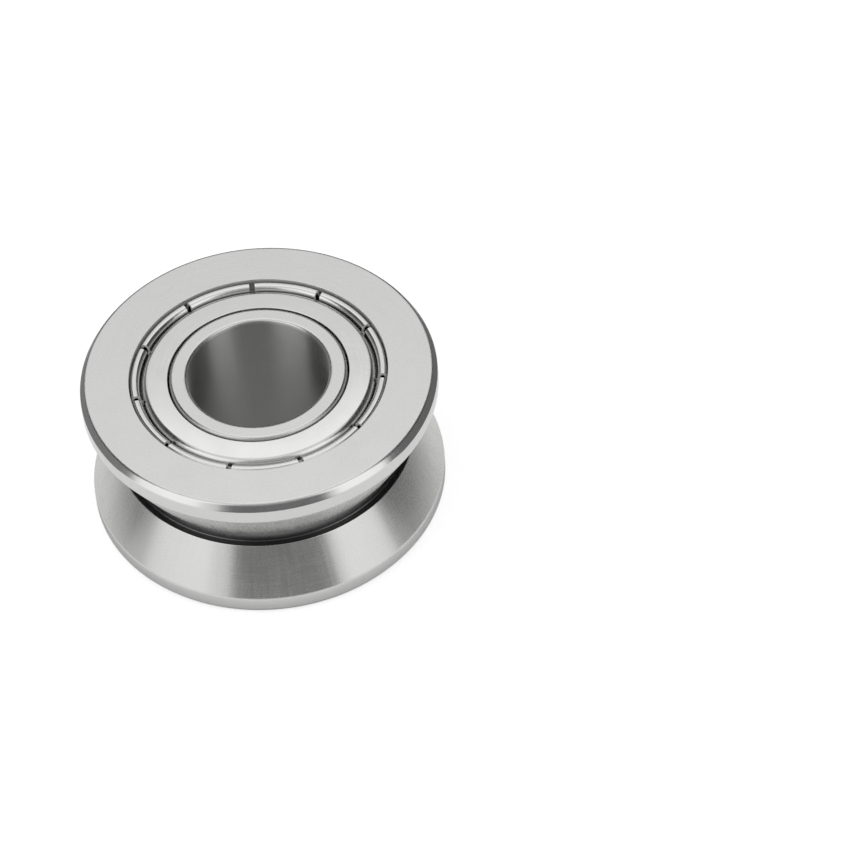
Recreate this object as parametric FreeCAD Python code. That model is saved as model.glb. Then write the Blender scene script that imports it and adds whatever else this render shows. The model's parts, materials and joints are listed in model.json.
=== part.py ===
import FreeCAD, Part
import math
import os

# V groove guide wheel: a double-row angular contact ball bearing whose outer ring
# is turned with a V groove. It runs on a V rail or a round bar, and its inner ring
# is clamped on a fixed stud. All sizes are in millimetres.
# The wheel's centre is the origin and its axle is +Z. It lies on its lower side face.

# Wheel
wheel_diameter = 38.0
wheel_width = 17.0
bore_diameter = 15.0

# V groove and rim
groove_angle = 120.0          # between the two flanks
land_width = 1.55             # cylinder between the groove's mouth and the rim chamfer
relief_width = 2.0            # slot at the bottom of the V, which clears the rail's crest
relief_depth = 0.7
rim_chamfer_radial = 0.5
rim_chamfer_axial = 0.75
rim_softening = 0.4           # rounding where the rim chamfer meets its neighbours
mouth_softening = 0.5         # rounding at the groove's mouth
slot_softening = 0.12         # rounding at the relief slot's corners

# Balls and raceways
ball_diameter = 5.0
balls_per_row = 10
contact_angle = 25.0          # from the plane of the row, the two rows back to back
raceway_conformity = 0.525    # raceway radius over ball diameter
ball_clearance = 0.02         # between a ball and each raceway, at the contact
inner_shoulder_height = 0.55  # inner ring, shield side
inner_middle_height = 0.4     # inner ring, between the rows
outer_shoulder_height = 0.9   # outer ring, shield side
outer_middle_height = 1.2     # outer ring, between the rows
lower_row_turn = 0.5          # the lower row's stagger, in ball pitches

# Inner ring's side faces
bore_corner = 0.45
face_corner = 0.38

# Pressed sheet shields. Places and bends are measured at the middle of the sheet.
sheet = 0.3
shield_recess = 0.18          # shield's flat below the side faces
shield_depth = 1.4            # shield's flat to the end of its rim's tail
shield_dish = 0.08            # the flat falls this much from its bore to its outer edge
shield_gap = 0.2              # shield's bore to the inner ring
valley_overhang = 0.47        # the valley lies this far inside the shoulder under it
valley_run = 0.3              # slope from the flat down to the valley
valley_drop = 1.45            # flat to the valley, before the valley is rounded
curl_run = 0.33               # slope from the valley up to the curled rim
curl_drop = 0.03              # flat to the top of the curled rim
curl_width = 0.58             # top of the curled rim, before its two sides are rounded
tail_spread = 0.29            # the rim's tail spreads this much down to its end
edge_bend = 0.7               # at the flat's outer edge
valley_bend = 0.16
curl_bend = 0.35
rim_bend = 0.18               # from the top of the curled rim into its tail
slit_count = 11               # slits from the bottom of the valley out through the curled rim
slit_width = 0.6
upper_slit_angle = 22.6       # first slit of the upper shield, from +X
lower_slit_angle = 9.0

# Shield seats in the outer ring
snap_hold = 0.14              # the tail's end reaches this far under the mouth's lip
snap_clearance = 0.05         # round the tail's end, in the undercut
mouth_lip = 0.65              # depth of the mouth's straight lip
mouth_slope = 0.2             # depth of the slope behind the lip

# Crown cages
pocket_clearance = 0.12
cage_back = 0.85              # ring behind the pockets
cage_clearance = 0.45         # between a cage and each ring's shoulder
claw_reach = 1.0              # claws past the balls' centres
claw_gap = 0.6                # slot between two neighbouring claws
claw_gap_height = 2.1
shield_to_cage = 0.25

# Worked out from the sizes above
wheel_radius = wheel_diameter / 2
half_width = wheel_width / 2
bore_radius = bore_diameter / 2
ball_radius = ball_diameter / 2
flank_tilt = math.radians(90 - groove_angle / 2)
half_mouth = half_width - rim_chamfer_axial - land_width
groove_root = wheel_radius - (half_mouth - relief_width / 2) * math.tan(flank_tilt)
relief_floor = groove_root - relief_depth

# The balls run midway between the bore and the groove's floor, so both rings have the same wall there.
ring_wall = (relief_floor - bore_radius - ball_diameter) / 2
inner_root = bore_radius + ring_wall
pitch_radius = inner_root + ball_radius
outer_root = pitch_radius + ball_radius
inner_shoulder = inner_root + inner_shoulder_height
outer_shoulder = outer_root - outer_shoulder_height

shield_flat = half_width - shield_recess
seat = shield_flat - shield_depth
pocket_radius = ball_radius + pocket_clearance
cage_top = seat - shield_to_cage
cage_inside = inner_shoulder + cage_clearance
cage_outside = outer_shoulder - cage_clearance
row_height = cage_top - cage_back - pocket_radius

shield_bore = inner_shoulder + shield_gap
valley = outer_shoulder - valley_overhang
curl = valley + curl_run
rim = curl + curl_width
tail_end = rim + tail_spread


def corner_arc(before, corner, after, radius):
    """The two ends and the middle of the arc that rounds a corner."""
    back = (before - corner).normalize()
    ahead = (after - corner).normalize()
    half_turn = back.getAngle(ahead) / 2
    reach = radius / math.tan(half_turn)
    bisector = (back + ahead).normalize()
    centre = corner + bisector * (radius / math.sin(half_turn))
    return corner + back * reach, centre - bisector * radius, corner + ahead * reach


def outline(corners):
    """A closed face in the XZ plane from corners (radius, height, rounding)."""
    points = [FreeCAD.Vector(r, 0, z) for r, z, rounding in corners]
    roundings = [rounding for r, z, rounding in corners]
    edges = []
    starts = []
    ends = []
    for i, (point, rounding) in enumerate(zip(points, roundings)):
        if rounding > 0:
            start, middle, end = corner_arc(points[i - 1], point, points[(i + 1) % len(points)], rounding)
            edges.append(Part.Arc(start, middle, end).toShape())
        else:
            start = point
            end = point
        starts.append(start)
        ends.append(end)
    for i, end in enumerate(ends):
        edges.append(Part.makeLine(end, starts[(i + 1) % len(starts)]))
    return Part.Face(Part.Wire(Part.__sortEdges__(edges)))


def turned(corners):
    """The solid that an outline makes when it is turned about the axle."""
    return outline(corners).revolve(FreeCAD.Vector(0, 0, 0), FreeCAD.Vector(0, 0, 1), 360)


def mirrored_corners(upper_half):
    """An outline's upper half, followed by its mirror image below the wheel's middle."""
    lower_half = [(r, -z, rounding) for r, z, rounding in reversed(upper_half)]
    return upper_half + lower_half


def lower_copy(shape, turn):
    """The piece on the lower side: the upper one mirrored in the wheel's middle plane, then turned."""
    piece = shape.mirror(FreeCAD.Vector(0, 0, 0), FreeCAD.Vector(0, 0, 1))
    piece.rotate(FreeCAD.Vector(0, 0, 0), FreeCAD.Vector(0, 0, 1), turn)
    return piece


def sheet_section(path, thickness):
    """Corners of a bent sheet's section, from (radius, height, bend) along its middle. Its end is level."""
    half = thickness / 2
    points = [FreeCAD.Vector(r, 0, z) for r, z, bend in path]
    runs = [(after - before).normalize() for before, after in zip(points, points[1:])]
    level = FreeCAD.Vector(-runs[-1].x, 0, runs[-1].z)
    above = []
    below = []
    for (r, z, bend), arriving, leaving in zip(path, [runs[0]] + runs, runs + [level]):
        along = (arriving + leaving).normalize()
        reach = half / along.dot(leaving)
        inside = math.copysign(half, arriving.x * leaving.z - arriving.z * leaving.x)
        above.append((r - reach * along.z, z + reach * along.x, bend - inside if bend else 0))
        below.append((r + reach * along.z, z - reach * along.x, bend + inside if bend else 0))
    return above + below[::-1]


def raceway(side):
    """The cutter for a ring's two raceways. Side is 1 for the inner ring and -1 for the outer one."""
    radius = raceway_conformity * ball_diameter
    offset = radius - ball_radius - ball_clearance
    tilt = math.radians(contact_angle)
    track = pitch_radius + side * offset * math.cos(tilt)
    height = row_height - side * offset * math.sin(tilt)
    axle = FreeCAD.Vector(0, 0, 1)
    upper = Part.makeTorus(track, radius, FreeCAD.Vector(0, 0, height), axle)
    lower = Part.makeTorus(track, radius, FreeCAD.Vector(0, 0, -height), axle)
    return [upper, lower]


def outer_ring():
    """The V grooved rim, the two raceways and the two shield seats, turned from one piece."""
    mouth = tail_end + sheet / 2 - snap_hold
    undercut = tail_end + sheet / 2 + snap_clearance
    middle_radius = outer_root - outer_middle_height
    ring = turned(mirrored_corners([
        (middle_radius, row_height, 0),
        (outer_shoulder, row_height, 0),
        (outer_shoulder, seat, 0),
        (undercut, seat, 0),
        (undercut, half_width - mouth_lip - mouth_slope, 0),
        (mouth, half_width - mouth_lip, 0),
        (mouth, half_width, 0),
        (wheel_radius - rim_chamfer_radial, half_width, rim_softening),
        (wheel_radius, half_width - rim_chamfer_axial, rim_softening),
        (wheel_radius, half_mouth, mouth_softening),
        (groove_root, relief_width / 2, slot_softening),
        (relief_floor, relief_width / 2, slot_softening),
    ]))
    return ring.cut(raceway(-1))


def inner_ring():
    """The clamped ring: bore, two raceways, and plain shoulders that the shields' bores clear."""
    ring = turned(mirrored_corners([
        (bore_radius, half_width, bore_corner),
        (inner_shoulder, half_width, face_corner),
        (inner_shoulder, row_height, 0),
        (inner_root + inner_middle_height, row_height, 0),
    ]))
    return ring.cut(raceway(1))


def upper_shield():
    """A pressed sheet ring: flat, valley, and a curled rim whose slits let it spring into the seat."""
    flat = shield_flat - sheet / 2
    shield = turned(sheet_section([
        (shield_bore, flat, 0),
        (valley - valley_run, flat - shield_dish, edge_bend),
        (valley, flat - valley_drop, valley_bend),
        (curl, flat - curl_drop, curl_bend),
        (rim, flat - curl_drop, rim_bend),
        (tail_end, seat, 0),
    ], sheet))
    slit = Part.makeBox(
        tail_end + sheet - valley,
        slit_width,
        shield_depth + 2 * sheet,
        FreeCAD.Vector(valley, -slit_width / 2, seat - sheet),
    )
    slits = []
    for i in range(slit_count):
        cutter = slit.copy()
        angle = upper_slit_angle + i * 360 / slit_count
        cutter.rotate(FreeCAD.Vector(0, 0, 0), FreeCAD.Vector(0, 0, 1), angle)
        slits.append(cutter)
    return shield.cut(slits)


def ball_place(i, turn=0.0):
    """The centre of one ball of the upper row. Turn is in ball pitches."""
    angle = 2 * math.pi * (i + turn) / balls_per_row
    return FreeCAD.Vector(pitch_radius * math.cos(angle), pitch_radius * math.sin(angle), row_height)


def upper_cage():
    """A moulded crown cage: a ring towards the shield, with pockets whose claws snap over the balls."""
    claw_tip = row_height - claw_reach
    cage = turned([
        (cage_inside, claw_tip, 0),
        (cage_outside, claw_tip, 0),
        (cage_outside, cage_top, 0),
        (cage_inside, cage_top, 0),
    ])
    cutters = [Part.makeSphere(pocket_radius, ball_place(i)) for i in range(balls_per_row)]
    slot = Part.makeBox(
        cage_outside - cage_inside + 2 * claw_gap,
        claw_gap,
        claw_gap_height + claw_gap,
        FreeCAD.Vector(cage_inside - claw_gap, -claw_gap / 2, claw_tip - claw_gap),
    )
    for i in range(balls_per_row):
        cutter = slot.copy()
        angle = (i + 0.5) * 360 / balls_per_row
        cutter.rotate(FreeCAD.Vector(0, 0, 0), FreeCAD.Vector(0, 0, 1), angle)
        cutters.append(cutter)
    return cage.cut(cutters)


def balls():
    """Both rows of balls by name. The lower row stands half a pitch round from the upper one."""
    pieces = {}
    for i in range(balls_per_row):
        pieces[f"upper_ball_{i + 1:02d}"] = Part.makeSphere(ball_radius, ball_place(i))
        below = ball_place(i, lower_row_turn)
        below.z = -row_height
        pieces[f"lower_ball_{i + 1:02d}"] = Part.makeSphere(ball_radius, below)
    return pieces


def wheel():
    """Every piece of the wheel by name."""
    shield = upper_shield()
    cage = upper_cage()
    return {
        "outer_ring": outer_ring(),
        "inner_ring": inner_ring(),
        "upper_shield": shield,
        "lower_shield": lower_copy(shield, lower_slit_angle - upper_slit_angle),
        "upper_cage": cage,
        "lower_cage": lower_copy(cage, lower_row_turn * 360 / balls_per_row),
        **balls(),
    }


os.makedirs("parts", exist_ok=True)
for name, shape in wheel().items():
    solid = shape.Solids[0]
    state = "valid" if solid.isValid() else "NOT VALID"
    print(name, state, len(shape.Solids), "solid", round(solid.Volume, 3))
    solid.exportStep(f"parts/{name}.step")
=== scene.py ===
import json
import math

import bpy
from mathutils import Matrix, Vector


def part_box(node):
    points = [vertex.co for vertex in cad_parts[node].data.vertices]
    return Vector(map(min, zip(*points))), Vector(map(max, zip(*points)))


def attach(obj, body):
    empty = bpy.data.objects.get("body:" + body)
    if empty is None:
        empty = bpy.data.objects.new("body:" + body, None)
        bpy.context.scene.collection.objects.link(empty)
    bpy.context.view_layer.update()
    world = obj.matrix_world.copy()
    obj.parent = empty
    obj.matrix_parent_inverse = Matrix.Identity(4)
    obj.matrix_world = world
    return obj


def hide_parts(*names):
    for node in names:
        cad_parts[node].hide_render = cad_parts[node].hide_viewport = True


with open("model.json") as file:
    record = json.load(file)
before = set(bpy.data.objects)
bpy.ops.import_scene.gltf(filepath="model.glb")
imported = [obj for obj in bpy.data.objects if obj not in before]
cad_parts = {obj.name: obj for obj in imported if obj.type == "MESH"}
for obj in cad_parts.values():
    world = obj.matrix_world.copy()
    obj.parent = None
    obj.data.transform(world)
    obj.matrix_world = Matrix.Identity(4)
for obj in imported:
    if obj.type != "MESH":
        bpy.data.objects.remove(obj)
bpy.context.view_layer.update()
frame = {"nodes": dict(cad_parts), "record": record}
mm = 0.001

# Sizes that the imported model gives
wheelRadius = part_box("outer_ring")[1].x
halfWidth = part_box("outer_ring")[1].z
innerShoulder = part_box("inner_ring")[1].x
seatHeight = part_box("upper_shield")[0].z
ballLow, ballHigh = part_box("upper_ball_01")
ballRadius = (ballHigh.z - ballLow.z) / 2
pitchRadius = (ballHigh.x + ballLow.x) / 2
rowHeight = (ballHigh.z + ballLow.z) / 2
boreRadius = next(m for m in frame["record"]["mounts"] if m["name"] == "bore")["dims"]["r_mm"] * mm


# Node helpers

def addNode(tree, kind, inputs=None, **settings):
    node = tree.nodes.new(kind)
    for key, value in settings.items():
        setattr(node, key, value)
    for key, value in (inputs or {}).items():
        if isinstance(value, bpy.types.NodeSocket):
            tree.links.new(value, node.inputs[key])
        else:
            node.inputs[key].default_value = value
    return node


def maths(tree, operation, *values):
    inputs = dict(enumerate(values))
    return addNode(tree, "ShaderNodeMath", inputs, operation=operation).outputs[0]


def vectorMaths(tree, operation, output, **inputs):
    order = {"a": 0, "b": 1, "scale": "Scale"}
    named = {order[key]: value for key, value in inputs.items()}
    return addNode(tree, "ShaderNodeVectorMath", named, operation=operation).outputs[output]


def xyz(tree, x=0.0, y=0.0, z=0.0):
    return addNode(tree, "ShaderNodeCombineXYZ", {"X": x, "Y": y, "Z": z}).outputs[0]


noiseReach = (0.3, 0.7)    # where nearly all of a noise's values lie


def spread(tree, value, low, high):
    # a noise from its usual reach to low and high
    inputs = {"Value": value, "From Min": noiseReach[0], "From Max": noiseReach[1],
              "To Min": low, "To Max": high}
    return addNode(tree, "ShaderNodeMapRange", inputs).outputs["Result"]


def noise(tree, place, scale, detail):
    inputs = {"Vector": place, "Scale": scale, "Detail": detail}
    return addNode(tree, "ShaderNodeTexNoise", inputs).outputs[0]


def noiseAlong(tree, place, extra, detail):
    # the extra value is a fourth direction of the noise
    inputs = {"Vector": place, "W": extra, "Scale": 1.0, "Detail": detail}
    return addNode(tree, "ShaderNodeTexNoise", inputs, noise_dimensions="4D").outputs[0]


def newMaterial(name):
    material = bpy.data.materials.new(name)
    material.use_nodes = True
    return material, material.node_tree


def emptyMaterial(name):
    material, tree = newMaterial(name)
    tree.nodes.clear()
    return material, tree


# Finishes. Marks run round the axle or out from it, with widths and depths in millimetres.
# Metal is less than 1 where the surface is rough or greasy and scatters light.
# Stretch draws highlights out across the turned lines.

marking = {
    "roundBlur": 3.0,         # how much a turned line changes on its way round the axle
    "outLength": 12,          # a streak's length, in widths
    "crossWidth": 1.4,        # width of the streaks that lean the other way, in widths of the first ones
    "swirlRun": 10 * mm,      # the radius over which the swirl is given
    "cloudScale": 260.0,      # uneven sheen from handling
    "cloudShare": 0.5,        # how much it changes the roughness, next to the marks
    "turnedDetail": 3.0, "streakDetail": 2.0, "cloudDetail": 3.0,
    "tangentTurn": 0.25,      # turns the stretched highlight from round the axle to along the section
}

finishes = {
    "groundFace": {
        "colour": (0.7, 0.7, 0.695), "metal": 1.0, "grain": 0.03,
        "rough": 0.27, "roughSwing": 0.07, "stretch": 0.0,
        "out": {"width": 0.16, "depth": 0.0009, "swirl": 55}, "round": {"width": 0.5, "depth": 0.0003},
    },
    "turnedFlank": {
        "colour": (0.68, 0.68, 0.67), "metal": 1.0, "grain": 0.03,
        "rough": 0.27, "roughSwing": 0.03, "stretch": 0.75,
        "out": {"width": 0.4, "depth": 0.00003, "swirl": 0}, "round": {"width": 0.12, "depth": 0.0004},
    },
    "rimLand": {
        "colour": (0.66, 0.66, 0.655), "metal": 1.0, "grain": 0.03,
        "rough": 0.2, "roughSwing": 0.06, "stretch": 0.4,
        "out": {"width": 0.5, "depth": 0.0003, "swirl": 0}, "round": {"width": 0.14, "depth": 0.0008},
    },
    "brightChamfer": {
        "colour": (0.74, 0.74, 0.735), "metal": 1.0, "grain": 0.02,
        "rough": 0.2, "roughSwing": 0.04, "stretch": 0.5,
        "out": {"width": 0.5, "depth": 0.0003, "swirl": 0}, "round": {"width": 0.1, "depth": 0.0005},
    },
    # painted shade: the slot's steel is coloured nearly black, for the shade deep in the slot
    "slotFloor": {
        "colour": (0.17, 0.17, 0.17), "metal": 1.0, "grain": 0.06,
        "rough": 0.3, "roughSwing": 0.06, "stretch": 0.4,
        "out": {"width": 0.5, "depth": 0.0002, "swirl": 0}, "round": {"width": 0.2, "depth": 0.0015},
    },
    "honedBore": {
        "colour": (0.58, 0.58, 0.575), "metal": 1.0, "grain": 0.04,
        "rough": 0.45, "roughSwing": 0.04, "stretch": 1.0,
        "out": {"width": 0.6, "depth": 0.0003, "swirl": 0}, "round": {"width": 0.18, "depth": 0.0008},
    },
    "ringShoulder": {
        "colour": (0.66, 0.66, 0.655), "metal": 0.5, "grain": 0.03,
        "rough": 0.38, "roughSwing": 0.04, "stretch": 0.0,
        "out": {"width": 0.5, "depth": 0.0003, "swirl": 0}, "round": {"width": 0.14, "depth": 0.0006},
    },
    "raceTrack": {
        "colour": (0.6, 0.6, 0.6), "metal": 1.0, "grain": 0.03,
        "rough": 0.16, "roughSwing": 0.05, "stretch": 0.2,
        "out": {"width": 0.8, "depth": 0.0002, "swirl": 0}, "round": {"width": 0.1, "depth": 0.0004},
    },
    "pressedSheet": {
        "colour": (0.74, 0.74, 0.73), "metal": 1.0, "grain": 0.03,
        "rough": 0.2, "roughSwing": 0.08, "stretch": 0.0,
        "out": {"width": 0.3, "depth": 0.0005, "swirl": 25}, "round": {"width": 0.25, "depth": 0.0008},
        "paintedValleyShade": {"from": 8.05, "to": 7.6, "shade": 0.45},    # painted shade: the sheet's colour darkens down the valley, between these heights
    },
    "cutEdge": {
        "colour": (0.8, 0.8, 0.79), "metal": 0.0, "grain": 0.08,
        "rough": 0.5, "roughSwing": 0.05, "stretch": 0.0,
        "out": {"width": 0.1, "depth": 0.0006, "swirl": 0}, "round": {"width": 0.1, "depth": 0.0006},
    },
}


def aroundAxle(tree):
    # radius, height, unit direction from the axle and tangent round it, all from Object coordinates
    place = addNode(tree, "ShaderNodeTexCoord").outputs["Object"]
    split = addNode(tree, "ShaderNodeSeparateXYZ", {"Vector": place})
    flat = xyz(tree, split.outputs["X"], split.outputs["Y"])
    tangent = vectorMaths(tree, "CROSS_PRODUCT", "Vector", a=(0, 0, 1), b=flat)
    turned = addNode(tree, "ShaderNodeVectorTransform", {"Vector": tangent}, vector_type="VECTOR",
                     convert_from="OBJECT", convert_to="WORLD")
    return {
        "radius": vectorMaths(tree, "LENGTH", "Value", a=flat),
        "height": split.outputs["Z"],
        "direction": vectorMaths(tree, "NORMALIZE", "Vector", a=flat),
        "tangent": turned.outputs["Vector"],
        "place": place,
    }


def roundMarks(tree, axle, width):
    # lines that a turning tool leaves: quick across the radius and the height, slow round the axle
    slow = vectorMaths(tree, "SCALE", "Vector", a=axle["direction"], scale=marking["roundBlur"])
    across = maths(tree, "DIVIDE", axle["radius"], width * mm)
    up = maths(tree, "DIVIDE", axle["height"], width * mm)
    place = vectorMaths(tree, "ADD", "Vector", a=slow, b=xyz(tree, z=across))
    return noiseAlong(tree, place, up, marking["turnedDetail"])


def outMarks(tree, axle, width, swirl):
    # streaks that lean from the radius by the swirl, in degrees for each run of the radius
    lean = maths(tree, "MULTIPLY", axle["radius"], math.radians(swirl) / marking["swirlRun"])
    leaning = addNode(tree, "ShaderNodeVectorRotate", {"Vector": axle["direction"], "Angle": lean},
                      rotation_type="Z_AXIS").outputs[0]
    quick = vectorMaths(tree, "SCALE", "Vector", a=leaning, scale=wheelRadius / (width * mm))
    length = marking["outLength"] * width * mm
    along = maths(tree, "DIVIDE", axle["radius"], length)
    up = maths(tree, "DIVIDE", axle["height"], length)
    place = vectorMaths(tree, "ADD", "Vector", a=quick, b=xyz(tree, z=along))
    return noiseAlong(tree, place, up, marking["streakDetail"])


def steelFinish(name):
    spec = finishes[name]
    material, tree = newMaterial(name)
    shader = tree.nodes["Principled BSDF"]
    axle = aroundAxle(tree)
    outward = spec["out"]
    turned = roundMarks(tree, axle, spec["round"]["width"])
    streaks = outMarks(tree, axle, outward["width"], outward["swirl"])
    crossing = outMarks(tree, axle, outward["width"] * marking["crossWidth"], -outward["swirl"])
    clouds = noise(tree, axle["place"], marking["cloudScale"], marking["cloudDetail"])

    # roughness swings with the marks, and more slowly with the handling of the part
    marks = maths(tree, "MULTIPLY", maths(tree, "ADD", turned, streaks), 0.5)    # the mean of both
    swing = spec["roughSwing"]
    slowSwing = swing * marking["cloudShare"]
    fromMarks = spread(tree, marks, -swing, swing)
    fromHandling = spread(tree, clouds, -slowSwing, slowSwing)
    rough = maths(tree, "ADD", maths(tree, "ADD", fromMarks, fromHandling), spec["rough"])
    tree.links.new(rough, shader.inputs["Roughness"])

    # a little lighter and darker along the marks
    shade = spread(tree, marks, 1 - spec["grain"], 1 + spec["grain"])
    # painted shade: down in the valley the sheet's colour is darkened, where shade falls
    if "paintedValleyShade" in spec:
        paintedValleyShade = spec["paintedValleyShade"]
        inputs = {"Value": maths(tree, "ABSOLUTE", axle["height"]), "From Min": paintedValleyShade["to"] * mm,
                  "From Max": paintedValleyShade["from"] * mm, "To Min": paintedValleyShade["shade"]}
        paintedShadeInValley = addNode(tree, "ShaderNodeMapRange", inputs).outputs["Result"]
        shade = maths(tree, "MULTIPLY", shade, paintedShadeInValley)
    tint = vectorMaths(tree, "SCALE", "Vector", a=spec["colour"], scale=shade)
    tree.links.new(tint, shader.inputs["Base Color"])

    roundRelief = maths(tree, "MULTIPLY", turned, spec["round"]["depth"] * mm)
    outRelief = maths(tree, "MULTIPLY", maths(tree, "ADD", streaks, crossing), outward["depth"] * mm)
    relief = maths(tree, "ADD", roundRelief, outRelief)
    bump = addNode(tree, "ShaderNodeBump", {"Height": relief, "Distance": 1.0})
    tree.links.new(bump.outputs[0], shader.inputs["Normal"])

    shader.inputs["Metallic"].default_value = spec["metal"]
    shader.inputs["Anisotropic"].default_value = spec["stretch"]
    shader.inputs["Anisotropic Rotation"].default_value = marking["tangentTurn"]
    if spec["stretch"]:
        tree.links.new(axle["tangent"], shader.inputs["Tangent"])
    return material


def ballFinish():
    spec = {
        "colour": (0.72, 0.72, 0.72), "rough": (0.04, 0.09), "lappingScale": 1500.0, "lappingDetail": 4.0,
    }
    material, tree = newMaterial("polishedBall")
    shader = tree.nodes["Principled BSDF"]
    place = addNode(tree, "ShaderNodeTexCoord").outputs["Object"]
    lapping = noise(tree, place, spec["lappingScale"], spec["lappingDetail"])
    tree.links.new(spread(tree, lapping, *spec["rough"]), shader.inputs["Roughness"])
    shader.inputs["Base Color"].default_value = (*spec["colour"], 1)
    shader.inputs["Metallic"].default_value = 1.0
    return material


def cageFinish():
    spec = {
        "colour": (0.62, 0.57, 0.46), "shade": (0.93, 1.05), "cloudScale": 180.0, "cloudDetail": 3.0,
        "rough": (0.44, 0.58), "grainScale": 2200.0, "grainDetail": 2.0, "grainDepth": 0.004 * mm,
    }
    material, tree = newMaterial("mouldedCage")
    shader = tree.nodes["Principled BSDF"]
    place = addNode(tree, "ShaderNodeTexCoord").outputs["Object"]
    clouds = noise(tree, place, spec["cloudScale"], spec["cloudDetail"])
    grain = noise(tree, place, spec["grainScale"], spec["grainDetail"])
    shade = spread(tree, clouds, *spec["shade"])
    tint = vectorMaths(tree, "SCALE", "Vector", a=spec["colour"], scale=shade)
    tree.links.new(tint, shader.inputs["Base Color"])
    tree.links.new(spread(tree, grain, *spec["rough"]), shader.inputs["Roughness"])
    height = maths(tree, "MULTIPLY", grain, spec["grainDepth"])
    bump = addNode(tree, "ShaderNodeBump", {"Height": height, "Distance": 1.0})
    tree.links.new(bump.outputs[0], shader.inputs["Normal"])
    return material


materials = {name: steelFinish(name) for name in finishes}
materials["polishedBall"] = ballFinish()
materials["mouldedCage"] = cageFinish()
print("made", len(materials), "materials")


# Turned rings. A section is a list of corners, clockwise with the radius to the right and the height up.
# Each corner says how much it is rounded, what finish the stretch after it has, and, where that stretch
# is curved, the points that it goes through.

turning = {
    "steps": 300,             # round the axle
    "arcStep": 15.0,          # degrees, at most, from one point of a rounding to the next
    "support": 0.03 * mm,     # a flat stretch has a loop this far inside each of its ends
    "supportReach": 4,        # a stretch shorter than this many supports has none
    "edgeBreak": 0.05 * mm,   # on edges that are broken only for the hand
    "weld": 0.0002 * mm, "sharpAngle": 32.0,
}


def corner(radius, height, rounding, finish, through=()):
    return {"at": Vector((radius, height)), "round": rounding, "finish": finish, "through": list(through)}


def mirroredBelow(upper, middleFinish):
    # adds the same corners below the middle, in reverse
    # the middle's finish is that of the stretch which closes the section
    lower = []
    for i in reversed(range(len(upper))):
        here = upper[i]["at"]
        before = upper[i - 1] if i else corner(0, 0, 0, middleFinish)
        back = [Vector((p.x, -p.y)) for p in reversed(before["through"])]
        lower.append(corner(here.x, -here.y, upper[i]["round"], before["finish"], back))
    return upper + lower


def roundedCorner(before, here, after, rounding, step):
    # points of the arc that rounds a corner, an odd number of them, so that the middle one is a point too
    if rounding == 0:
        return [here]
    back = (before - here).normalized()
    ahead = (after - here).normalized()
    opening = back.angle(ahead)
    turn = math.pi - opening
    reach = rounding / math.tan(opening / 2)
    centre = here + (back + ahead).normalized() * (rounding / math.sin(opening / 2))
    start = here + back * reach - centre
    end = here + ahead * reach - centre
    half = max(1, math.ceil(turn / 2 / math.radians(step)))
    points = []
    for i in range(2 * half + 1):
        share = i / (2 * half)
        bent = start * math.sin((1 - share) * turn) + end * math.sin(share * turn)
        points.append(centre + bent / math.sin(turn))
    return points


def sectionMesh(name, corners, finishNames):
    # one chain of points for each stretch, with the half arcs at its ends and its finish as an attribute
    arcs = []
    for i, here in enumerate(corners):
        previous, following = corners[i - 1], corners[(i + 1) % len(corners)]
        before = previous["through"][-1] if previous["through"] else previous["at"]
        after = here["through"][0] if here["through"] else following["at"]
        arcs.append(roundedCorner(before, here["at"], after, here["round"], turning["arcStep"]))
    points, lines, marks = [], [], []
    for i, here in enumerate(corners):
        first, last = arcs[i], arcs[(i + 1) % len(arcs)]
        start = first[len(first) // 2:]
        end = last[:len(last) // 2 + 1]
        chain = start + here["through"] + end
        gap = end[0] - start[-1]
        if not here["through"] and gap.length > turning["supportReach"] * turning["support"]:
            inset = gap.normalized() * turning["support"]
            chain = start + [start[-1] + inset, end[0] - inset] + end
        lines += [(len(points) + k, len(points) + k + 1) for k in range(len(chain) - 1)]
        points += chain
        marks += [finishNames.index(here["finish"])] * len(chain)
    # the sweep puts the profile's X outwards and its Y downwards
    places = [(p.x - pitchRadius, -p.y, 0) for p in points]
    mesh = bpy.data.meshes.new(name)
    mesh.from_pydata(places, lines, [])
    mesh.attributes.new("finish", "INT", "POINT").data.foreach_set("value", marks)
    return mesh


def newTree(name, sockets):
    tree = bpy.data.node_groups.new(name, "GeometryNodeTree")
    tree.interface.new_socket("Geometry", in_out="INPUT", socket_type="NodeSocketGeometry")
    tree.interface.new_socket("Geometry", in_out="OUTPUT", socket_type="NodeSocketGeometry")
    for socketName, kind in sockets:
        tree.interface.new_socket(socketName, in_out="INPUT", socket_type=kind)
    return tree, addNode(tree, "NodeGroupInput").outputs


def namedAttribute(tree, name, kind):
    return addNode(tree, "GeometryNodeInputNamedAttribute", {"Name": name}, data_type=kind).outputs[0]


def sharpEdges(tree, geometry, angle):
    # smooth all over, apart from edges that turn by more than the angle
    smooth = addNode(tree, "GeometryNodeSetShadeSmooth", {"Geometry": geometry})
    turn = addNode(tree, "GeometryNodeInputMeshEdgeAngle").outputs["Unsigned Angle"]
    steep = addNode(tree, "FunctionNodeCompare", {"A": turn, "B": angle}, operation="GREATER_THAN")
    inputs = {"Geometry": smooth.outputs[0], "Selection": steep.outputs[0], "Shade Smooth": False}
    return addNode(tree, "GeometryNodeSetShadeSmooth", inputs, domain="EDGE").outputs[0]


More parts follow.
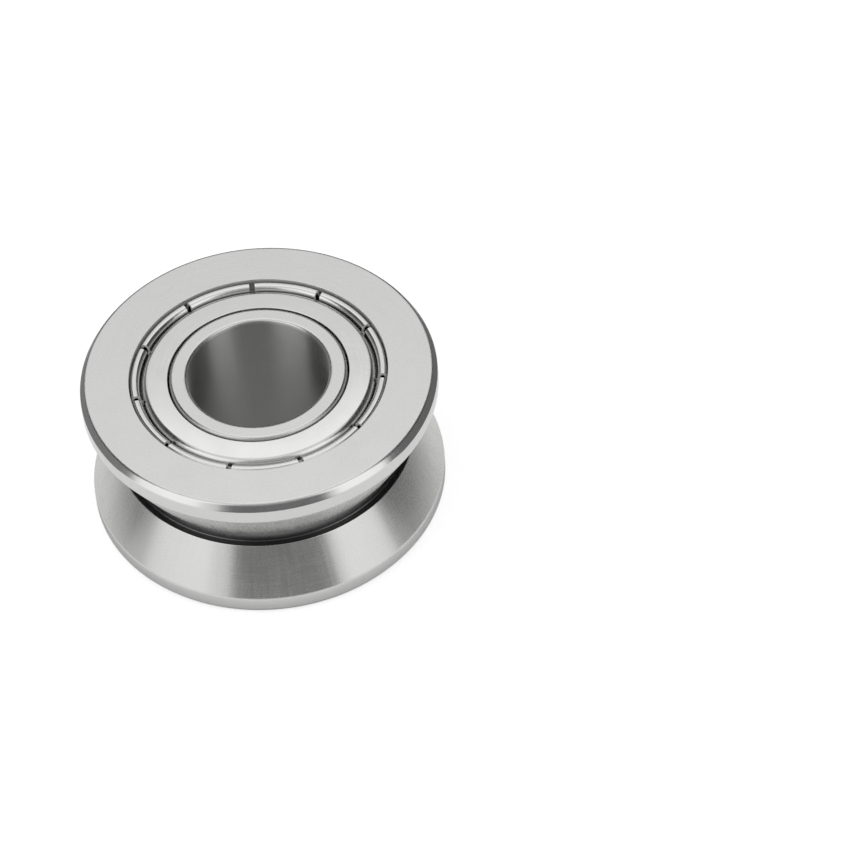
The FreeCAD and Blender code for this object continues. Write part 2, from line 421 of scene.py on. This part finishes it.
def turnTree(finishNames):
    # sweeps the section round the axle, closes it and gives each stretch its finish
    sockets = [("Steps", "NodeSocketInt"), ("Track Radius", "NodeSocketFloat"), ("Weld", "NodeSocketFloat"),
               ("Sharp Angle", "NodeSocketFloat")]
    sockets += [(name, "NodeSocketMaterial") for name in finishNames]
    tree, given = newTree("turnRoundAxle", sockets)
    section = addNode(tree, "GeometryNodeMeshToCurve", {"Mesh": given["Geometry"]})
    track = addNode(tree, "GeometryNodeCurvePrimitiveCircle",
                    {"Resolution": given["Steps"], "Radius": given["Track Radius"]})
    swept = addNode(tree, "GeometryNodeCurveToMesh",
                    {"Curve": track.outputs["Curve"], "Profile Curve": section.outputs[0]})
    finish = namedAttribute(tree, "finish", "INT")
    stored = addNode(tree, "GeometryNodeStoreNamedAttribute",
                     {"Geometry": swept.outputs[0], "Name": "finish", "Value": finish},
                     data_type="INT", domain="FACE")
    inputs = {"Geometry": stored.outputs[0], "Distance": given["Weld"]}
    welded = addNode(tree, "GeometryNodeMergeByDistance", inputs)
    shaded = sharpEdges(tree, welded.outputs[0], given["Sharp Angle"])
    geometry = addNode(tree, "GeometryNodeRealizeInstances", {"Geometry": shaded}).outputs[0]
    for i, name in enumerate(finishNames):
        inputs = {2: finish, 3: i}    # the node's whole numbers
        chosen = addNode(tree, "FunctionNodeCompare", inputs, data_type="INT", operation="EQUAL").outputs[0]
        inputs = {"Geometry": geometry, "Selection": chosen, "Material": given[name]}
        geometry = addNode(tree, "GeometryNodeSetMaterial", inputs).outputs[0]
    addNode(tree, "NodeGroupOutput", {"Geometry": geometry})
    return tree


def grow(name, mesh, tree, values):
    # runs the tree on the mesh and keeps the result as a plain mesh
    seed = bpy.data.objects.new(name, mesh)
    bpy.context.scene.collection.objects.link(seed)
    modifier = seed.modifiers.new("shape", "NODES")
    modifier.node_group = tree
    for item in tree.interface.items_tree:
        if item.in_out == "INPUT" and item.name in values:
            modifier[item.identifier] = values[item.name]
    evaluated = seed.evaluated_get(bpy.context.evaluated_depsgraph_get())
    result = bpy.data.meshes.new_from_object(evaluated)
    seed.modifiers.clear()
    seed.data = result
    result.name = name
    if result.materials[0] is None:    # an empty slot that the tree leaves before its own
        result.materials.pop(index=0)
    return seed


def standFor(piece, node, body):
    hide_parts(node)
    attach(piece, body)


def turnedRing(name, corners, node, body):
    finishNames = sorted({c["finish"] for c in corners})
    values = {"Steps": turning["steps"], "Track Radius": pitchRadius, "Weld": turning["weld"],
              "Sharp Angle": math.radians(turning["sharpAngle"])}
    values.update({finish: materials[finish] for finish in finishNames})
    piece = grow(name, sectionMesh(name, corners, finishNames), turnTree(finishNames), values)
    standFor(piece, node, body)
    print("turned", name, len(piece.data.polygons), "faces")


raceway = {"conformity": 0.525, "clearance": 0.02 * mm, "contactAngle": 25.0, "steps": 20}


def racewayArc(side, fromRadius, toRadius):
    # points of the upper raceway between two radii, from the top down
    # side is 1 inside the balls and -1 outside
    radius = raceway["conformity"] * 2 * ballRadius
    offset = radius - ballRadius - raceway["clearance"]
    tilt = math.radians(raceway["contactAngle"])
    centre = Vector((pitchRadius + side * offset * math.cos(tilt),
                     rowHeight - side * offset * math.sin(tilt)))
    start = math.asin((fromRadius - centre.x) / radius)
    end = -math.pi * side - math.asin((toRadius - centre.x) / radius)
    angles = [start + (end - start) * i / raceway["steps"] for i in range(raceway["steps"] + 1)]
    return [centre + Vector((math.sin(a), math.cos(a))) * radius for a in angles]


outerRing = {
    "grooveAngle": 120.0, "landWidth": 1.55 * mm, "slotWidth": 2.0 * mm, "slotDepth": 0.7 * mm,
    "chamferRadial": 0.5 * mm, "chamferAxial": 0.75 * mm,
    "rimSoftening": 0.4 * mm, "mouthSoftening": 0.5 * mm, "slotSoftening": 0.12 * mm,
    "shoulderHeight": 0.9 * mm, "middleHeight": 1.2 * mm,
    "mouthRadius": 13.739 * mm, "undercutRadius": 13.929 * mm,
    "mouthLip": 0.65 * mm, "mouthSlope": 0.2 * mm,
}


def outerRingSection():
    spec = outerRing
    edge = turning["edgeBreak"]
    root = pitchRadius + ballRadius
    shoulder = root - spec["shoulderHeight"]
    middle = root - spec["middleHeight"]
    halfMouth = halfWidth - spec["chamferAxial"] - spec["landWidth"]
    slot = spec["slotWidth"] / 2
    grooveRoot = wheelRadius - (halfMouth - slot) * math.tan(math.radians(90 - spec["grooveAngle"] / 2))
    slotFloor = grooveRoot - spec["slotDepth"]
    lip = halfWidth - spec["mouthLip"]
    track = racewayArc(-1, shoulder, middle)[::-1]
    upper = [
        corner(track[0].x, track[0].y, 0, "raceTrack", track[1:-1]),
        corner(track[-1].x, track[-1].y, 0, "raceTrack"),
        corner(shoulder, seatHeight, edge, "raceTrack"),
        corner(spec["undercutRadius"], seatHeight, 0, "ringShoulder"),
        corner(spec["undercutRadius"], lip - spec["mouthSlope"], 0, "ringShoulder"),
        corner(spec["mouthRadius"], lip, edge, "ringShoulder"),
        corner(spec["mouthRadius"], halfWidth, edge, "groundFace"),
        corner(wheelRadius - spec["chamferRadial"], halfWidth, spec["rimSoftening"], "brightChamfer"),
        corner(wheelRadius, halfWidth - spec["chamferAxial"], spec["rimSoftening"], "rimLand"),
        corner(wheelRadius, halfMouth, spec["mouthSoftening"], "turnedFlank"),
        # the slot's walls and floor take the finish with painted shade
        corner(grooveRoot, slot, spec["slotSoftening"], "slotFloor"),
        corner(slotFloor, slot, spec["slotSoftening"], "slotFloor"),
    ]
    return mirroredBelow(upper, "raceTrack")


innerRing = {"boreCorner": 0.45 * mm, "faceCorner": 0.38 * mm, "middleHeight": 0.4 * mm}


def innerRingSection():
    spec = innerRing
    middle = pitchRadius - ballRadius + spec["middleHeight"]
    track = racewayArc(1, innerShoulder, middle)
    upper = [
        corner(boreRadius, halfWidth, spec["boreCorner"], "groundFace"),
        corner(innerShoulder, halfWidth, spec["faceCorner"], "ringShoulder"),
        corner(track[0].x, track[0].y, 0, "raceTrack", track[1:-1]),
        corner(track[-1].x, track[-1].y, 0, "raceTrack"),
    ]
    return mirroredBelow(upper, "honedBore")


turnedRing("grooved_ring", outerRingSection(), "outer_ring", "outer_ring")
turnedRing("bored_ring", innerRingSection(), "inner_ring", "inner_ring")


# Pressed shields. One sector, from the middle of one tongue to the middle of the next, is repeated.

shield = {
    "sheet": 0.3 * mm, "recess": 0.18 * mm, "dish": 0.08 * mm, "bore": 9.649 * mm,
    "valley": 12.529 * mm, "valleyRun": 0.3 * mm, "valleyDrop": 1.45 * mm,
    "curlRun": 0.33 * mm, "curlDrop": 0.03 * mm, "curlWidth": 0.58 * mm, "tailSpread": 0.29 * mm,
    "edgeBend": 0.7 * mm, "valleyBend": 0.16 * mm, "curlBend": 0.35 * mm, "rimBend": 0.18 * mm,
    "bendStep": 9.0,               # degrees, at most, from one point of a bend to the next
    "slits": 11, "slitWidth": 0.6 * mm,
    "upperTurn": 22.6, "lowerTurn": 9.0,    # degrees, to the middle of the first slit
    "edgeBreak": 0.03 * mm,
    "support": 0.09 * mm,          # a loop this far from each end keeps the sheet's shading flat
    "tongueColumns": 12, "weld": 0.0005 * mm, "sharpAngle": 50.0,
}


def sheetPath(spec):
    # points along the middle of the sheet from its bore to its tail, and at which of them the slits start
    flat = halfWidth - spec["recess"] - spec["sheet"] / 2
    valley = spec["valley"]
    curl = valley + spec["curlRun"]
    rim = curl + spec["curlWidth"]
    bends = [
        (valley - spec["valleyRun"], flat - spec["dish"], spec["edgeBend"]),
        (valley, flat - spec["valleyDrop"], spec["valleyBend"]),
        (curl, flat - spec["curlDrop"], spec["curlBend"]),
        (rim, flat - spec["curlDrop"], spec["rimBend"]),
    ]
    spots = [Vector((radius, height)) for radius, height, rounding in bends]
    bore = Vector((spec["bore"], flat))
    tail = Vector((rim + spec["tailSpread"], seatHeight))
    path = [bore]
    turns = zip([bore] + spots, spots, spots[1:] + [tail], bends)
    for before, here, after, (radius, height, rounding) in turns:
        path += roundedCorner(before, here, after, rounding, spec["bendStep"])
        if radius == valley:
            slitStart = len(path) - 1    # where the valley's bend ends
    return path + [tail], slitStart


def sheetSides(spec):
    # the sheet's two skins as paired points, and the pair where the slits start
    # both ends have broken edges, and the tail's end is level
    path, slitStart = sheetPath(spec)
    edge, half = spec["edgeBreak"], spec["sheet"] / 2
    boreWay = (path[1] - path[0]).normalized()
    tailWay = (path[-1] - path[-2]).normalized()
    insets = (spec["support"], edge)
    for inset in insets:
        path.insert(1, path[0] + boreWay * inset)
        path.insert(-1, path[-1] + tailWay * (inset / tailWay.y))
    last = len(path) - 1
    above, below = [], []
    for i, p in enumerate(path):
        arriving = (p - path[i - 1]).normalized() if i else boreWay
        leaving = (path[i + 1] - p).normalized() if i < last else tailWay
        along = (arriving + leaving).normalized()
        across = Vector((-along.y, along.x)) * (half / along.dot(leaving))
        if i >= last - 1:
            across = Vector((-half / tailWay.y, 0))
        if i in (0, last):
            across -= across.normalized() * edge
        above.append(p + across)
        below.append(p - across)
    return above, below, slitStart + len(insets)


def shieldSector(name, side):
    spec = shield
    above, below, slitRow = sheetSides(spec)
    halfSector = math.pi / spec["slits"]
    count = spec["tongueColumns"]
    loop = above + below[::-1]
    rows = len(loop)

    def columnAngle(column, radius):
        # the first and last columns are the tongues' middles, and the middle three span the slit,
        # whose sides are parallel from the valley outwards
        edge = math.asin(spec["slitWidth"] / 2 / max(radius, spec["valley"]))
        if column < count:
            return -edge - (halfSector - edge) * (1 - column / (count - 1))
        if column == count:
            return 0.0
        return edge + (halfSector - edge) * ((column - count - 1) / (count - 1))

    points = []
    for column in range(2 * count + 1):
        for p in loop:
            angle = columnAngle(column, p.x)
            points.append((p.x * math.cos(angle), p.x * math.sin(angle), side * p.y))
    faces, cuts = [], []
    inSlit = [min(row, rows - 1 - row) >= slitRow for row in range(rows)]
    for column in range(2 * count):
        here, there = column * rows, (column + 1) * rows
        overSlit = column in (count - 1, count)
        for row in range(rows):
            after = (row + 1) % rows
            if not (overSlit and inSlit[row] and inSlit[after]):
                faces.append((here + row, here + after, there + after, there + row))
        if overSlit:    # the slit's inner end
            bottom = rows - 1 - slitRow
            cuts.append((here + slitRow, here + bottom, there + bottom, there + slitRow))
    # the slit's two sides
    for column, flip in ((count - 1, False), (count + 1, True)):
        here = column * rows
        for i in range(slitRow, len(above) - 1):
            quad = (here + i, here + i + 1, here + rows - 2 - i, here + rows - 1 - i)
            cuts.append(quad[::-1] if flip else quad)
    isCut = [False] * len(faces) + [True] * len(cuts)
    faces += cuts
    if side < 0:
        faces = [face[::-1] for face in faces]
    used = sorted({i for face in faces for i in face})
    place = {old: new for new, old in enumerate(used)}
    mesh = bpy.data.meshes.new(name)
    mesh.from_pydata([points[i] for i in used], [], [[place[i] for i in face] for face in faces])
    mesh.attributes.new("cut", "BOOLEAN", "FACE").data.foreach_set("value", isCut)
    return mesh


def repeatTree():
    # copies of the sector round the axle, joined into one ring
    sockets = [("Count", "NodeSocketInt"), ("First Angle", "NodeSocketFloat"), ("Weld", "NodeSocketFloat"),
               ("Sharp Angle", "NodeSocketFloat"), ("Finish", "NodeSocketMaterial"),
               ("Cut Finish", "NodeSocketMaterial")]
    tree, given = newTree("repeatRoundAxle", sockets)
    spots = addNode(tree, "GeometryNodePoints", {"Count": given["Count"]})
    index = addNode(tree, "GeometryNodeInputIndex").outputs[0]
    pitch = maths(tree, "DIVIDE", 2 * math.pi, given["Count"])
    angle = maths(tree, "ADD", maths(tree, "MULTIPLY", index, pitch), given["First Angle"])
    turn = addNode(tree, "FunctionNodeEulerToRotation", {"Euler": xyz(tree, z=angle)})
    inputs = {"Points": spots.outputs[0], "Instance": given["Geometry"], "Rotation": turn.outputs[0]}
    copies = addNode(tree, "GeometryNodeInstanceOnPoints", inputs)
    real = addNode(tree, "GeometryNodeRealizeInstances", {"Geometry": copies.outputs[0]})
    inputs = {"Geometry": real.outputs[0], "Distance": given["Weld"]}
    welded = addNode(tree, "GeometryNodeMergeByDistance", inputs)
    shaded = sharpEdges(tree, welded.outputs[0], given["Sharp Angle"])
    finished = addNode(tree, "GeometryNodeSetMaterial", {"Geometry": shaded, "Material": given["Finish"]})
    cut = namedAttribute(tree, "cut", "BOOLEAN")
    edged = addNode(tree, "GeometryNodeSetMaterial",
                    {"Geometry": finished.outputs[0], "Selection": cut, "Material": given["Cut Finish"]})
    addNode(tree, "NodeGroupOutput", {"Geometry": edged.outputs[0]})
    return tree


ringOfSectors = repeatTree()


def pressedShield(name, node, side, firstAngle):
    values = {"Count": shield["slits"], "First Angle": math.radians(firstAngle), "Weld": shield["weld"],
              "Sharp Angle": math.radians(shield["sharpAngle"]), "Finish": materials["pressedSheet"],
              "Cut Finish": materials["cutEdge"]}
    piece = grow(name, shieldSector(name, side), ringOfSectors, values)
    standFor(piece, node, "outer_ring")
    print("pressed", name, len(piece.data.polygons), "faces")


pressedShield("slit_shield_upper", "upper_shield", 1, shield["upperTurn"])
pressedShield("slit_shield_lower", "lower_shield", -1, shield["lowerTurn"])


# Balls and cages are the solids themselves, with a finish

solidFinishes = {"_cage": "mouldedCage", "_ball_": "polishedBall"}
for nodeName, node in frame["nodes"].items():
    for word, finish in solidFinishes.items():
        if word in nodeName:
            node.data.materials.clear()
            node.data.materials.append(materials[finish])
print("finished the balls and cages")


# Studio: a pale floor, a white surround, soft lamps, and dark cards that only the metal sees

studio = {
    "floorSize": 3.0, "floorDrop": 0.02 * mm, "floorColour": (0.8, 0.8, 0.8),
    "cameraLift": 0.62, "metalLift": 0.45,         # what the floor adds for the camera and in metal
    "boreLift": 0.18,                              # painted light: extra glow that metal sees on the floor inside the bore
    "liftFrom": 18.3 * mm, "liftTo": 21.8 * mm,    # painted shadow: the glow that metal sees on the floor fades out under the wheel, between these radii
    "openFrom": 8.6 * mm, "openTo": 18.2 * mm,     # where the wheel's lower side is seen lit from below
    "surround": 0.65,                              # what lights the object plainly
    "cardDistance": 0.75, "cardSteps": 32, "clothRise": 0.2 * mm,
}
# Dark cards that stand round the wheel, and dark cloths on the floor before them: angles round the axle,
# elevations, how light the card is, and how near the cloth comes to the axle
cards = {
    "low_front": {"angles": (241, 300), "heights": (0, 30), "shade": 0.16, "cloth": 0.06},
    "high_front": {"angles": (243, 298), "heights": (30, 72), "shade": 0.38, "cloth": None},
    "left": {"angles": (118, 189), "heights": (0, 30), "shade": 0.22, "cloth": 0.04},
    "right": {"angles": (338, 422), "heights": (0, 30), "shade": 0.15, "cloth": 0.04},
    "high_left": {"angles": (124, 186), "heights": (30, 58), "shade": 0.05, "cloth": None},
    "high_right": {"angles": (338, 416), "heights": (30, 58), "shade": 0.05, "cloth": None},
    "back": {"angles": (62, 118), "heights": (0, 24), "shade": 0.06, "cloth": 0.06},
}


def rayIs(tree, *kinds):
    rays = addNode(tree, "ShaderNodeLightPath").outputs
    total = rays[kinds[0]]
    for kind in kinds[1:]:
        total = maths(tree, "MAXIMUM", total, rays[kind])
    return total


def stageObject(name, points, faces, material):
    mesh = bpy.data.meshes.new(name)
    mesh.from_pydata(points, [], faces)
    mesh.materials.append(material)
    thing = bpy.data.objects.new(name, mesh)
    bpy.context.scene.collection.objects.link(thing)
    return thing


def floorMaterial():
    material, tree = emptyMaterial("paleFloor")
    paint = addNode(tree, "ShaderNodeBsdfDiffuse", {"Color": (*studio["floorColour"], 1)})
    place = addNode(tree, "ShaderNodeTexCoord").outputs["Object"]
    split = addNode(tree, "ShaderNodeSeparateXYZ", {"Vector": place})
    away = vectorMaths(tree, "LENGTH", "Value", a=xyz(tree, split.outputs["X"], split.outputs["Y"]))
    # painted shadow: the floor's glow for metal fades out towards the wheel
    inputs = {"Value": away, "From Min": studio["liftFrom"], "From Max": studio["liftTo"]}
    outsidePaintedShadow = addNode(tree, "ShaderNodeMapRange", inputs,
                           interpolation_type="SMOOTHSTEP").outputs["Result"]
    # painted light: a disc of extra glow on the floor inside the bore, for metal only
    paintedLightInBore = maths(tree, "LESS_THAN", away, boreRadius)
    metalLift = maths(tree, "ADD", maths(tree, "MULTIPLY", outsidePaintedShadow, studio["metalLift"]),
                      maths(tree, "MULTIPLY", paintedLightInBore, studio["boreLift"]))
    forCamera = maths(tree, "MULTIPLY", rayIs(tree, "Is Camera Ray"), studio["cameraLift"])
    forMetal = maths(tree, "MULTIPLY", rayIs(tree, "Is Glossy Ray", "Is Transmission Ray"), metalLift)
    glow = addNode(tree, "ShaderNodeEmission", {"Strength": maths(tree, "ADD", forCamera, forMetal)})
    both = addNode(tree, "ShaderNodeAddShader", {0: paint.outputs[0], 1: glow.outputs[0]})
    back = addNode(tree, "ShaderNodeNewGeometry").outputs["Backfacing"]
    middle = (studio["openTo"] + studio["openFrom"]) / 2
    reach = (studio["openTo"] - studio["openFrom"]) / 2
    inReach = maths(tree, "COMPARE", away, middle, reach)
    beneath = maths(tree, "MULTIPLY", inReach, rayIs(tree, "Is Glossy Ray"))
    clear = addNode(tree, "ShaderNodeBsdfTransparent")
    shown = addNode(tree, "ShaderNodeMixShader",
                    {0: maths(tree, "MAXIMUM", back, beneath), 1: both.outputs[0], 2: clear.outputs[0]})
    addNode(tree, "ShaderNodeOutputMaterial", {"Surface": shown.outputs[0]})
    return material


def darkPaint(name, shade):
    material, tree = emptyMaterial(name)
    glow = addNode(tree, "ShaderNodeEmission", {"Color": (shade, shade, shade, 1), "Strength": 1.0})
    addNode(tree, "ShaderNodeOutputMaterial", {"Surface": glow.outputs[0]})
    return material


def darkBand(name, angles, inner, outer, material):
    # a band round the axle between two rings of points, each given by its radius and height
    steps = studio["cardSteps"]
    points, faces = [], []
    for i in range(steps + 1):
        angle = math.radians(angles[0] + (angles[1] - angles[0]) * i / steps)
        for radius, height in (inner, outer):
            points.append((radius * math.cos(angle), radius * math.sin(angle), height))
    for i in range(steps):
        faces.append((2 * i, 2 * i + 2, 2 * i + 3, 2 * i + 1))
    band = stageObject(name, points, faces, material)
    band.visible_camera = False
    band.visible_diffuse = False
    band.visible_shadow = False
    band.visible_transmission = False


floorEdge = studio["floorSize"] / 2
floorHeight = -halfWidth - studio["floorDrop"]
corners = ((-1, -1), (1, -1), (1, 1), (-1, 1))
floorPoints = [(x * floorEdge, y * floorEdge, floorHeight) for x, y in corners]
stageObject("floor", floorPoints, [(0, 1, 2, 3)], floorMaterial())
for name, spec in cards.items():
    paint = darkPaint(name + "_paint", spec["shade"])
    distance = studio["cardDistance"]
    low, high = (distance * math.tan(math.radians(height)) for height in spec["heights"])
    darkBand(name + "_card", spec["angles"], (distance, low - halfWidth), (distance, high), paint)
    if spec["cloth"]:
        rise = studio["clothRise"] - halfWidth
        darkBand(name + "_cloth", spec["angles"], (spec["cloth"], rise), (distance, rise), paint)

world = bpy.data.worlds.new("whiteSurround")
bpy.context.scene.world = world
world.use_nodes = True
worldTree = world.node_tree
worldTree.nodes.clear()
seen = rayIs(worldTree, "Is Camera Ray", "Is Glossy Ray", "Is Transmission Ray")
inputs = {"Value": seen, "To Min": studio["surround"], "To Max": 1.0}
level = addNode(worldTree, "ShaderNodeMapRange", inputs)
surround = addNode(worldTree, "ShaderNodeBackground", {"Strength": level.outputs["Result"]})
addNode(worldTree, "ShaderNodeOutputWorld", {"Surface": surround.outputs[0]})

softboxes = {
    "topSoftbox": {"angle": 90, "height": 63, "distance": 1.05, "size": (0.6, 0.5), "glow": 0.35},
    "leftSoftbox": {"angle": 210, "height": 32, "distance": 0.72, "size": (0.5, 0.75), "glow": 0.35},
    "rightSoftbox": {"angle": 321, "height": 32, "distance": 0.72, "size": (0.42, 0.75), "glow": 0.35},
}
for name, spec in softboxes.items():
    lamp = bpy.data.lights.new(name, "AREA")
    lamp.shape = "RECTANGLE"
    lamp.size, lamp.size_y = spec["size"]
    lamp.energy = spec["glow"] * math.pi * lamp.size * lamp.size_y    # watts that look as bright as the glow
    holder = bpy.data.objects.new(name, lamp)
    turn, rise = math.radians(spec["angle"]), math.radians(spec["height"])
    aim = Vector((math.cos(rise) * math.cos(turn), math.cos(rise) * math.sin(turn), math.sin(rise)))
    holder.location = aim * spec["distance"]
    holder.rotation_euler = aim.to_track_quat("Z", "Y").to_euler()
    holder.visible_camera = False
    bpy.context.scene.collection.objects.link(holder)
print("lit the studio")


# Camera: in front of the wheel and above it, a little rolled, with the wheel left of the picture's middle

camera = {
    "elevation": 47.508, "roll": -6.818, "distance": 483.1 * mm, "lens": 190.9, "sensor": 36.0,
    "pictureSize": 850, "wheelAt": (264.56, 426.58),    # in pixels, from the top left
    "clip": (0.01, 10.0),
}


def placeCamera():
    spec = camera
    data = bpy.data.cameras.new("camera")
    data.lens = spec["lens"]
    data.sensor_width = spec["sensor"]
    data.clip_start, data.clip_end = spec["clip"]
    eye = bpy.data.objects.new("camera", data)
    bpy.context.scene.collection.objects.link(eye)
    bpy.context.scene.camera = eye
    tilt, roll = math.radians(spec["elevation"]), math.radians(spec["roll"])
    look = Vector((0, math.cos(tilt), -math.sin(tilt)))
    across = Vector((1, 0, 0))
    upright = Vector((0, math.sin(tilt), math.cos(tilt)))
    right = across * math.cos(roll) + upright * math.sin(roll)
    up = upright * math.cos(roll) - across * math.sin(roll)
    # turn away from the wheel, so that it stands where the photograph has it
    pixel = spec["sensor"] / spec["pictureSize"]
    aside = math.atan((spec["pictureSize"] / 2 - spec["wheelAt"][0]) * pixel / spec["lens"])
    above = math.atan((spec["wheelAt"][1] - spec["pictureSize"] / 2) * pixel / spec["lens"])
    forward = look * math.cos(aside) + right * math.sin(aside)
    right = right * math.cos(aside) - look * math.sin(aside)
    level = forward
    forward = level * math.cos(above) + up * math.sin(above)
    up = up * math.cos(above) - level * math.sin(above)
    turn = Matrix((right, up, -forward)).transposed().to_4x4()
    eye.matrix_world = Matrix.Translation(-look * spec["distance"]) @ turn


placeCamera()
bpy.context.scene.view_settings.view_transform = "Standard"
